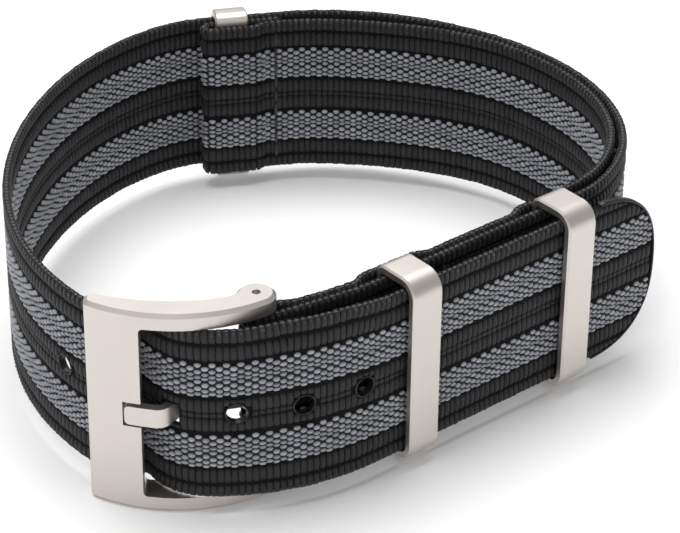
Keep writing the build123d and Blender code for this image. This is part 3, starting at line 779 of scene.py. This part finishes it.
# %% Cores of both straps
TONGUE_HOLE, TONGUE_HOLE_SHIFT = (1.8, 2.44, 0.3), 0.28
FOLD_SLOT, SLOT_MIDDLE, SLOT_REACH = (4.92, 2.9, 0.1), -0.155, 2.305
round_hole = oblong(2 * HOLE_RADIUS, 2 * HOLE_RADIUS, HOLE_RADIUS)
cutters = []
for step, spot, angle in hole_places:
    if step == 0:
        tongue_spot = spot + toward(angle) * TONGUE_HOLE_SHIFT
        cutters.append(drill("tongue_hole", tongue_spot, angle, oblong(*TONGUE_HOLE),
                             TONGUE_HEIGHT))
    else:
        cutters.append(drill("hole", spot, angle, round_hole, HOLE_HEIGHT))
cutters.append(drill("fold_slot", fold_point(SLOT_MIDDLE, 0), fold_heading + 90,
                     oblong(*FOLD_SLOT), TONGUE_HEIGHT, SLOT_REACH))
long_core = core_mesh("long_strap_core", long_line, is_long=True)
short_core = core_mesh("short_strap_core", short_line, is_long=False)
for core in (long_core, short_core):
    bpy.context.collection.objects.link(core)
    faces_outward(core)
cut(long_core, cutters)
print("core faces", len(long_core.data.polygons), len(short_core.data.polygons))

# %% [markdown]
# Now the weave itself. Across its 20 mm the webbing has a black border, a grey stripe, a black
# middle, a grey stripe and a black border. A grey stripe is six ovals high, every other
# column half a step higher, as in a basket. The black parts are plain ribs in bands with a
# groove between. One tree makes all of them from different numbers. A bump that meets a punched
# hole or the round tip is shortened to what is left of it.
# %% Where the webbing is open
# Each opening: middle, half length, height, half height, and whether it is round. The slot for
# the tongue's eye lies in the line's first stretch, as far from the pin as its mouth.
FOLD_PART, SLOT_MOUTH = 25, 2.25
SLOT_OPEN_HALF, SLOT_OPEN_MARGIN = 1.5, 0.15
TONGUE_OPEN, ROUND_OPEN = (1.1, 1.3), (1.4, 1.2)
in_slot = [distance for distance, spot in zip(distances_on(long_line), long_line)
           if distance < FOLD_PART and (spot - pin) @ toward(fold_heading) < SLOT_MOUTH]
tongue_rise, hole_rise = TONGUE_HEIGHT - STRAP_MIDDLE, HOLE_HEIGHT - STRAP_MIDDLE
openings = [((in_slot[0] + in_slot[-1]) / 2, (in_slot[-1] - in_slot[0]) / 2 + SLOT_OPEN_MARGIN,
             tongue_rise, SLOT_OPEN_HALF, False)]
for step, spot, angle in hole_places:
    middle = before_tail + to_tongue_hole + step * HOLE_PITCH
    if step == 0:
        openings.append((middle + TONGUE_HOLE_SHIFT, TONGUE_OPEN[0], tongue_rise,
                         TONGUE_OPEN[1], False))
    else:
        # The rows there are lifted with the edge and the hole isn't, so it lies lower on them.
        openings.append((middle, ROUND_OPEN[0], hole_rise - lift_at(middle, hole_rise),
                         ROUND_OPEN[1], True))
print("openings", [(round(opening[0], 1), round(opening[2], 2)) for opening in openings])

# %% What is left of a bump
LEAST_BUMP = 0.24


def open_parts(distance, low, high, holes, limit):
    """The stretches of a bump's height that lie inside the outline and outside every hole."""
    parts = [(max(low, -limit), min(high, limit))]
    for middle, half_length, height, half_height, is_round in holes:
        past = abs(distance - middle) / half_length
        if past < 1:
            reach = half_height * (sqrt(1 - past * past) if is_round else 1)
            below, above = height - reach, height + reach
            parts = [part for a, b in parts for part in ((a, min(b, below)), (max(a, above), b))]
    return [(a, b) for a, b in parts if b - a > LEAST_BUMP]


# %% Chains of bumps
# The tree sets a bump at the start of a chain and after every whole pitch. A chain is therefore
# a shade longer than whole pitches, and one for a single bump is half a pitch long.
SHADE, SINGLE = 0.001, 0.5
# At the tip the bumps leave room for the melted rim, measured a little ahead of each bump.
TIP_RIM, TIP_MARGIN = 0.3, 0.2


def chains_of(line, rows, pitch, holes, round_end):
    """Start, end, height, size and tone of each chain of whole bumps and each cut one."""
    total = length_of(line)
    chains = []
    for height, start, size, tone in rows:
        half_long, half_high, rise = size
        low, high = height - half_high, height + half_high
        whole = []
        for bump in range(int((total - half_long - start) / pitch) + 2):
            distance = start + bump * pitch
            past = max(0.0, distance + TIP_MARGIN - total + TIP) if round_end else 0.0
            limit = tip_half(past) - TIP_RIM if past else WEBBING_WIDTH
            parts = []
            if distance < total - half_long:
                parts = open_parts(distance, low, high, holes, limit)
            if parts == [(low, high)]:
                whole.append(distance)
                continue
            if whole:
                chains.append((whole[0], whole[-1] + SHADE * pitch, height, size, tone))
                whole = []
            chains += [(distance, distance + SINGLE * pitch, (a + b) / 2,
                        (half_long, (b - a) / 2, rise), tone) for a, b in parts]
    return chains


# %% Chains as a guide for the tree
def cut_to(line, start, end):
    """The stretch of a line between two distances along it."""
    run = distances_on(line)
    inside = [spot for spot, distance in zip(line, run) if start < distance < end]
    first, last = [np.array([np.interp(distance, run, line[:, axis]) for axis in (0, 1)])
                   for distance in (start, end)]
    return np.array([first, *inside, last])


def row_guide(chains, line, lifted):
    """The chains as one mesh of edges, with each row's size and tone on its points."""
    verts, edges, sizes, tones = [], [], [], []
    for start, end, height, size, tone in chains:
        chain = cut_to(line, start, end)
        first = len(verts)
        for (x, y), distance in zip(chain, start + distances_on(chain)):
            lift = lift_at(distance, height) if lifted else 0.0
            verts.append((x * MM, y * MM, (STRAP_MIDDLE + height + lift) * MM))
        edges += [(first + i, first + i + 1) for i in range(len(chain) - 1)]
        sizes += [part * MM for part in size] * len(chain)
        tones += [tone] * len(chain)
    mesh = bpy.data.meshes.new("row_guide")
    mesh.from_pydata(verts, edges, [])
    mesh.attributes.new("row_size", "FLOAT_VECTOR", "POINT").data.foreach_set("vector", sizes)
    mesh.attributes.new("row_tone", "FLOAT", "POINT").data.foreach_set("value", tones)
    return bpy.data.objects.new("row_guide", mesh)


# %% All the bumps of one kind
VARIATION = 0.06


def woven(name, line, rows, pitch, out, reach, shape, finish, seed, holes, round_end, lifted):
    """All the bumps of one kind on one side of a strap, as one mesh."""
    guide = row_guide(chains_of(line, rows, pitch, holes, round_end), line, lifted)
    thing = run_tree(WEAVE, guide, name, finish, {
        "Pitch": pitch * MM, "Out": out, "Reach": reach * MM, "Variation": VARIATION,
        "Shape": shape, "Seed": seed})
    for done_with in ("row_size", "row_tone"):
        thing.data.attributes.remove(thing.data.attributes[done_with])
    return thing


# %% Rows of the grey stripes
COLUMN, THREAD_RISE, OVAL_HALF = 0.72, 0.26, 0.43
# Height above the stripe's middle, half height and tone of the ovals in two kinds of column.
FIRST_COLUMN = ((1.74, 0.28, 0.75), (0.94, 0.26, 0.55), (0.33, 0.2, 0.3),
                (-0.22, 0.25, 0.6), (-1.04, 0.29, 0.8), (-1.66, 0.22, 0.6))
SECOND_COLUMN = ((1.30, 0.29, 0.9), (0.62, 0.22, 0.45), (0.14, 0.2, 0.6),
                 (-0.66, 0.3, 0.95), (-1.34, 0.24, 0.5), (-1.84, 0.2, 0.75))
grey_rows = []
for centre in (-GREY_CENTRE, GREY_CENTRE):
    for shift, column in ((0.0, FIRST_COLUMN), (COLUMN, SECOND_COLUMN)):
        grey_rows += [(centre + up, shift, (OVAL_HALF, half, THREAD_RISE), tone)
                      for up, half, tone in column]
print("rows of ovals", len(grey_rows))

# %% Rows of the black ribs and of the edges
RIB_HALF = 0.42
# Height from the webbing's middle, half height, rise and tone; each is on both sides of it.
BANDS = ((9.31, 0.7, 0.26, 0.85), (7.42, 0.86, 0.25, 0.55), (1.12, 0.8, 0.25, 0.55))
MIDDLE_GROOVE = (0.36, 0.28, 0.08)
BEAD, BEAD_SINK = (0.38, 0.49, 0.36), 0.15
rib_rows = []
for middle, half, rise, tone in BANDS:
    rib_rows += [(side * middle, 0.0, (RIB_HALF, half, rise), tone) for side in (1, -1)]
# The low rib in the middle groove takes the darkest tone: painted shade down in the groove.
rib_rows.append((0.0, 0.0, MIDDLE_GROOVE, 0.0))
# The beads take the lightest tone, part of their painted highlight.
edge_rows = {way: [(way * (CORE_TALL - BEAD_SINK), 0.0, BEAD, 1.0)] for way in (1, -1)}
print("rows of ribs", len(rib_rows), "and of beads", len(edge_rows))

# %% The weave on both straps
FACES = (("wrist", (1, 0, 0)), ("outer", (-1, 0, 0)))
GREY_SEED, RIB_SEED, EDGE_SEED = 3, 13, 23
strap_pieces = {"long_strap": [long_core], "short_strap": [short_core]}
for strap, line, holes, is_long in (("long_strap", long_line, openings, True),
                                    ("short_strap", short_line, [], False)):
    things = strap_pieces[strap]
    for number, (side, out) in enumerate(FACES):
        things.append(woven(f"{strap}_grey_{side}", line, grey_rows, 2 * COLUMN, out, CORE_HALF,
                            thread_button, GREY_THREAD, GREY_SEED + number,
                            holes, round_end=is_long, lifted=is_long))
        things.append(woven(f"{strap}_ribs_{side}", line, rib_rows, COLUMN, out, CORE_HALF,
                            thread_bar, BLACK_THREAD, RIB_SEED + number,
                            holes, round_end=is_long, lifted=is_long))
    # The beads stop where the tip starts to round; the melted rim goes on from there.
    edge_line = cut_to(line, 0, length_of(line) - TIP) if is_long else line
    for number, (side, way) in enumerate((("upper", 1), ("lower", -1))):
        things.append(woven(f"{strap}_{side}_edge", edge_line, edge_rows[way], COLUMN,
                            (0, way, 0), 0.0, thread_button, EDGE_THREAD_PAINTED_HIGHLIGHT, EDGE_SEED + number,
                            [], round_end=False, lifted=is_long))

# %% [markdown]
# The holes are punched hot and the tail's end is cut hot, so both have a narrow rim of melted
# nylon: smooth, dark and a little proud of the cut. A ring with a rounded cross-section, turned
# about the hole, would do for one; the same few lines also give the part of a ring at the tip.
# %% Melted nylon
def melted_finish():
    material, tree, shader, where = new_finish("melted_nylon")
    lumps = noise(tree, where.outputs["Object"], 2500.0)
    colour = ramp(tree, lumps, [(0.3, (0.006, 0.006, 0.007)), (0.7, (0.014, 0.014, 0.016))])
    tree.links.new(colour, shader.inputs["Base Color"])
    shader.inputs["Roughness"].default_value = 0.38
    relief(tree, shader, lumps, 0.05 * MM, 0.6)
    return material


MELTED_NYLON = melted_finish()
print("rims:", MELTED_NYLON.name)

# %% A rounded rim
RIM_BELOW_FACE, RIM_FLARE = 0.02, 0.14
RIM_HALF = WEBBING_THICKNESS / 2 - RIM_BELOW_FACE
# The round inner corner: how far past the inner radius, and how far in from the rim's face.
RIM_CORNER = ((0, 0.12), (0.04, 0.04), (0.09, 0.02))


def rim_section(inner, outer):
    """Points (radius, across the thickness) round the rim, the same on both faces."""
    upper = [(inner + past, RIM_HALF - down) for past, down in RIM_CORNER]
    upper.append((outer, RIM_HALF - RIM_FLARE))
    lower = [(radius, -across) for radius, across in upper[::-1]]
    return lower[-1:] + upper + lower[:-1]


def rim(spot, angle, height, inner, outer, turns, closed):
    """Corners and faces of a ring, or of the tip's part of one, square to a strap."""
    section = rim_section(inner, outer)
    verts = []
    for turn in turns:
        # The tip is a little fuller than a circle.
        powers = abs(cos(turn))**TIP_POWER + abs(sin(turn))**TIP_POWER
        fuller = 1.0 if closed else powers ** (-1 / TIP_POWER)
        for radius, across in section:
            radius = radius - outer + outer * fuller
            x, y = spot + toward(angle) * radius * cos(turn) + left(angle) * across
            verts.append((x * MM, y * MM, (height + radius * sin(turn)) * MM))
    faces, ring, count = [], len(section), len(turns)
    for k in range(count if closed else count - 1):
        here, following = k * ring, (k + 1) % count * ring
        for i in range(ring):
            j = (i + 1) % ring
            faces.append((here + i, here + j, following + j, following + i))
    if not closed:
        faces += [tuple(range(ring)), tuple(range((count - 1) * ring, count * ring))[::-1]]
    return verts, faces


# %% Rims of the holes and the tip
RIM_SIDES, TIP_SIDES, TIP_TURN = 28, 40, 84
HOLE_RIM_IN, HOLE_RIM_OUT = 0.02, 0.14
circle = [2 * pi * i / RIM_SIDES for i in range(RIM_SIDES)]
half_circle = [radians(-TIP_TURN + 2 * TIP_TURN * i / TIP_SIDES) for i in range(TIP_SIDES + 1)]
tip_spot, tip_angle = along(long_line, length_of(long_line) - TIP)
rims = [(spot, angle, HOLE_HEIGHT, HOLE_RADIUS - HOLE_RIM_IN, HOLE_RADIUS + HOLE_RIM_OUT,
         circle, True) for step, spot, angle in hole_places if step]
rims.append((tip_spot, tip_angle, STRAP_MIDDLE, TIP - TIP_RIM, TIP, half_circle, False))
verts, faces = [], []
for numbers in rims:
    more_verts, more_faces = rim(*numbers)
    faces += [tuple(corner + len(verts) for corner in face) for face in more_faces]
    verts += more_verts
rim_mesh = bpy.data.meshes.new("melted_rims")
rim_mesh.from_pydata(verts, [], faces)
rim_mesh.polygons.foreach_set("use_smooth", [True] * len(faces))
rim_mesh.materials.append(MELTED_NYLON)
melted_rims = bpy.data.objects.new("melted_rims", rim_mesh)
bpy.context.collection.objects.link(melted_rims)
faces_outward(melted_rims)
strap_pieces["long_strap"].append(melted_rims)
print("rims", len(rims), "faces", len(faces))


# %% [markdown]
# Rows of lock stitches hold the fold, the keepers' pockets and the back ring. From outside, a
# lock stitch is a short length of thread that lies on the webbing and dips in at both ends. A
# curve with a bevel could draw each one; a tree that stands one stitch at every step up a line
# is shorter, and each row keeps its own direction to face.
# %% The stitch tree
def stitch_tree():
    """A stitch at a pitch up every chain, facing the way that the chain's attribute says."""
    tree, inp, out = new_tree("Stitch rows", [
        ("Pitch", "Float"), ("Size", "Vector"), ("Variation", "Float"),
        ("Shape", "Object"), ("Finish", "Material"), ("Seed", "Int")])
    give = inp.outputs
    rows = add(tree, "GeometryNodeMeshToCurve", Mesh=give["Geometry"])
    spots = add(tree, "GeometryNodeCurveToPoints", {"mode": "LENGTH"},
                Curve=rows.outputs["Curve"], Length=give["Pitch"])
    faces_to = add(tree, "GeometryNodeInputNamedAttribute", {"data_type": "FLOAT_VECTOR"},
                   Name="facing")
    turned = add(tree, "FunctionNodeAxesToRotation",
                 {"primary_axis": "Z", "secondary_axis": "X"},
                 Primary_Axis=only(faces_to), Secondary_Axis=spots.outputs["Tangent"])
    less = figure(tree, "SUBTRACT", 1.0, give["Variation"])
    more = figure(tree, "ADD", 1.0, give["Variation"])
    change_by = add(tree, "FunctionNodeRandomValue", {"data_type": "FLOAT"},
                    Min=less, Max=more, Seed=give["Seed"])
    shape = add(tree, "GeometryNodeObjectInfo", Object=give["Shape"])
    stitches = add(tree, "GeometryNodeInstanceOnPoints", Points=spots.outputs["Points"],
                   Instance=shape.outputs["Geometry"], Rotation=turned.outputs[0],
                   Scale=arrow(tree, "SCALE", give["Size"], scale=only(change_by)))
    own_tone = add(tree, "FunctionNodeRandomValue", {"data_type": "FLOAT"}, Seed=give["Seed"])
    toned = add(tree, "GeometryNodeStoreNamedAttribute",
                {"data_type": "FLOAT", "domain": "INSTANCE"}, Geometry=stitches.outputs[0],
                Name="tone", Value=only(own_tone))
    solid = add(tree, "GeometryNodeRealizeInstances", Geometry=toned.outputs[0])
    coated = add(tree, "GeometryNodeSetMaterial", Geometry=solid.outputs[0],
                 Material=give["Finish"])
    tree.links.new(coated.outputs[0], out.inputs["Geometry"])
    return tree


STITCHES = stitch_tree()
print("stitch nodes", len(STITCHES.nodes))

# %% One stitch and its thread
STITCH_SIDES, STITCH_SINK, STITCH_FLATTEN = 6, 0.8, 0.8
# Place along the stitch, width and rise: it dips into the webbing at both ends.
STITCH_PROFILE = ((-1, 0.5, -0.6), (-0.86, 0.85, 0.35), (-0.5, 1, 0.9),
                  (0.5, 1, 0.9), (0.86, 0.85, 0.35), (1, 0.5, -0.6))


def stitch_ring(place_along, width, rise):
    turns = [2 * pi * i / STITCH_SIDES for i in range(STITCH_SIDES)]
    return [(place_along, width * cos(turn),
             rise + STITCH_FLATTEN * width * sin(turn) - STITCH_SINK) for turn in turns]


sewn_thread = shape_object("sewn_thread", [stitch_ring(*numbers) for numbers in STITCH_PROFILE])
SEWING_THREAD = thread_finish("sewing_thread", (0.02, 0.02, 0.022), (0.05, 0.05, 0.053),
                              roughness=0.45, sheen=0.15)
print("stitch faces", len(sewn_thread.data.polygons), SEWING_THREAD.name)

# %% Rows of stitches on both faces
STITCH_LENGTH, STITCH_COUNT = 1.9, 9
STITCH_HALF = (0.9, 0.19, 0.12)
STITCH_VARIATION, STITCH_SEED = 0.05, 31


def sewn(name, rows):
    """Rows of stitches on both faces of the layers that they hold.

    A row has a point at an inset, the layers' heading, and the insets of their two faces.
    """
    verts, edges, facings = [], [], []
    low_end = STRAP_MIDDLE - (STITCH_COUNT - 1) / 2 * STITCH_LENGTH
    high_end = low_end + (STITCH_COUNT - 1 + SHADE) * STITCH_LENGTH
    for at, heading, low, high in rows:
        for inset, way in ((low, -left(heading)), (high, left(heading))):
            x, y = at(inset)
            first = len(verts)
            verts += [(x * MM, y * MM, low_end * MM), (x * MM, y * MM, high_end * MM)]
            edges.append((first, first + 1))
            facings += [way[0], way[1], 0.0] * 2
    mesh = bpy.data.meshes.new(name)
    mesh.from_pydata(verts, edges, [])
    mesh.attributes.new("facing", "FLOAT_VECTOR", "POINT").data.foreach_set("vector", facings)
    guide = bpy.data.objects.new(name + "_guide", mesh)
    thing = run_tree(STITCHES, guide, name, SEWING_THREAD, {
        "Pitch": STITCH_LENGTH * MM, "Size": tuple(part * MM for part in STITCH_HALF),
        "Variation": STITCH_VARIATION, "Shape": sewn_thread, "Seed": STITCH_SEED})
    faces_outward(thing)
    return thing


# %% The rows of stitches
ROW_FROM_END, ROW_ON_FLAP, ROW_PAST_POCKET = 1.0, 1.5, 0.8
beside_pocket = POCKET + RISE + ROW_PAST_POCKET


def fold_row(distance):
    return (lambda inset: fold_point(distance, inset), fold_heading,
            -FOLD_RADIUS - HALF, return_offset + HALF)


def run_row(distance):
    return (lambda inset: run_point(distance, inset), TAIL_ANGLE,
            RUN_INSET - HALF, RUN_LOW + HALF)


def ring_row(distance):
    return (lambda inset: ring_point(distance, inset), RING_HEADING,
            RETURN_INSET - HALF, RETURN_INSET + LAYER_STEP + HALF)


stitch_pieces = {
    "fold_stitching": sewn("fold_stitches", [fold_row(fold_end - ROW_FROM_END),
                                             fold_row(fold_end + ROW_ON_FLAP)]),
    "keeper_stitching": sewn("keeper_stitches", [run_row(beside_pocket),
                                                 run_row(KEEPER_SPACING - beside_pocket)]),
    "ring_stitching": sewn("ring_stitches", [ring_row(-RING_FOLD_END + ROW_FROM_END)]),
}

# %% [markdown]
# The metal is stainless steel with a bead-blasted, satin face. It was turned matt by fine glass
# beads, so it has no brushing direction: its highlights are broad and soft, with a faint grain.
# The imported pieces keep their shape, so only what is in their material slots changes.
# %% Satin steel
BROAD_SCALE, GRAIN_SCALE = 120.0, 6000.0
DARKER, ROUGHNESS_RANGE = 0.94, 0.08


def steel_finish(name, colour, roughness, grain):
    material, tree, shader, where = new_finish(name)
    shader.inputs["Metallic"].default_value = 1.0
    broad = noise(tree, where.outputs["Object"], BROAD_SCALE)
    fine = noise(tree, where.outputs["Object"], GRAIN_SCALE, 2.0)
    dark = tuple(channel * DARKER for channel in colour)
    tree.links.new(ramp(tree, broad, [(0.3, dark), (0.7, colour)]), shader.inputs["Base Color"])
    spread = figure(tree, "MULTIPLY_ADD", broad, ROUGHNESS_RANGE, roughness - ROUGHNESS_RANGE / 2)
    tree.links.new(spread, shader.inputs["Roughness"])
    relief(tree, shader, fine, grain, 0.35)
    return material


BLASTED_STEEL = steel_finish("blasted_steel", (0.665, 0.62, 0.582), 0.42, 0.02 * MM)
COIL_WIRE = steel_finish("coil_wire", (0.55, 0.55, 0.55), 0.3, 0.01 * MM)
for node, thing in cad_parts.items():
    if node.startswith(("buckle", "spring_bar", "near", "far", "back")):
        for slot in thing.material_slots:
            slot.material = COIL_WIRE if node == "spring_bar_spring" else BLASTED_STEEL
        print(node, [slot.material.name for slot in thing.material_slots])

# %% [markdown]
# Each new piece now rides on the body that it moves with, and the imported solid that it stands for
# is hidden. The straps and their stitches are one body, because they are sewn together.
# %% Straps and stitches replace their solids and ride on the strap body
for strap, things in strap_pieces.items():
    for thing in things:
        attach(thing, "straps")
        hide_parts(strap)
    print(strap, "has", len(things), "pieces")
for node, thing in stitch_pieces.items():
    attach(thing, "straps")
    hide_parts(node)
    print(node, "is", thing.name)

# %% [markdown]
# The strap stands on white paper. More light would make the paper whiter, but the metal and the
# shadow would wash out with it. So the paper is nearly white by its own colour, and glows a
# little for the camera and for reflections alone. Most of the light comes from one large soft
# box overhead, a little behind the strap, and the rest evenly from the room. Two weak boxes, one
# behind and one in front, lighten the metal's upper edges and the buckle's face.
# %% The paper
FLOOR_HALF = 3
PAPER_GLOW = 0.07
floor_mesh = bpy.data.meshes.new("floor")
floor_mesh.from_pydata([(x * FLOOR_HALF, y * FLOOR_HALF, 0) for x, y in CORNERS], [],
                       [(0, 1, 2, 3)])
floor = bpy.data.objects.new("floor", floor_mesh)
bpy.context.collection.objects.link(floor)
paper, paper_tree, paper_shader, _ = new_finish("white_paper")
paper_shader.inputs["Base Color"].default_value = (0.93, 0.93, 0.935, 1)
paper_shader.inputs["Roughness"].default_value = 0.9
paper_shader.inputs["Specular IOR Level"].default_value = 0.1
paper_shader.inputs["Emission Color"].default_value = (1, 1, 1, 1)
# What looks at the paper, straight or in the metal, sees it a little whiter than it is lit.
ray = paper_tree.nodes.new("ShaderNodeLightPath").outputs
seen = figure(paper_tree, "MAXIMUM", ray["Is Camera Ray"], ray["Is Glossy Ray"])
seen = figure(paper_tree, "MAXIMUM", seen, ray["Is Transmission Ray"])
glow = figure(paper_tree, "MULTIPLY", seen, PAPER_GLOW)
paper_tree.links.new(glow, paper_shader.inputs["Emission Strength"])
floor_mesh.materials.append(paper)
print("floor", 2 * FLOOR_HALF, "m wide, finish", paper.name)

# %% The light
ROOM_LIGHT = 0.43
world = bpy.data.worlds.new("studio")
bpy.context.scene.world = world
world.use_nodes = True
background = world.node_tree.nodes["Background"]
background.inputs["Color"].default_value = (1, 1, 1, 1)
background.inputs["Strength"].default_value = ROOM_LIGHT


def soft_box(name, spot, size, power):
    """An oblong area light that looks at the middle of the strap's foot."""
    lamp = bpy.data.lights.new(name, "AREA")
    lamp.shape, lamp.size, lamp.size_y, lamp.energy = "RECTANGLE", size[0], size[1], power
    thing = bpy.data.objects.new(name, lamp)
    thing.location = spot
    aim = Vector((0, 0, 0.01)) - Vector(spot)
    thing.rotation_euler = aim.to_track_quat("-Z", "Y").to_euler()
    bpy.context.collection.objects.link(thing)
    print(name, power, "W")


soft_box("overhead", (-0.08, 0.11, 0.6), (0.6, 0.45), 3.9)
soft_box("back_window", (-0.12, 0.5, 0.4), (0.6, 0.35), 0.3)
soft_box("front_fill", (0.1, -0.6, 0.35), (0.4, 0.3), 0.3)

# %% [markdown]
# The picture is taken from a little above the buckle through a long lens, which keeps the near
# and the far side of the loop almost the same size. The lens is given by its length in pixels
# of the photograph, so the sensor's width turns it into millimetres.
# %% The camera
SENSOR, FOCAL_PIXELS, PICTURE_WIDTH = 36.0, 2710.28, 680
DOWN, ROLL = 31.5, 0.628
CAMERA_PLACE = (0.00106, -0.26347, 0.16912)
camera_data = bpy.data.cameras.new("camera")
camera_data.sensor_width = SENSOR
camera_data.lens = SENSOR * FOCAL_PIXELS / PICTURE_WIDTH
camera = bpy.data.objects.new("camera", camera_data)
tilt = Matrix.Rotation(radians(90 - DOWN), 4, "X") @ Matrix.Rotation(radians(ROLL), 4, "Z")
camera.matrix_world = Matrix.Translation(CAMERA_PLACE) @ tilt
bpy.context.collection.objects.link(camera)
bpy.context.scene.camera = camera
bpy.context.scene.view_settings.view_transform = "Standard"
print("lens", round(camera_data.lens, 1), "mm, looking down by", DOWN, "degrees")
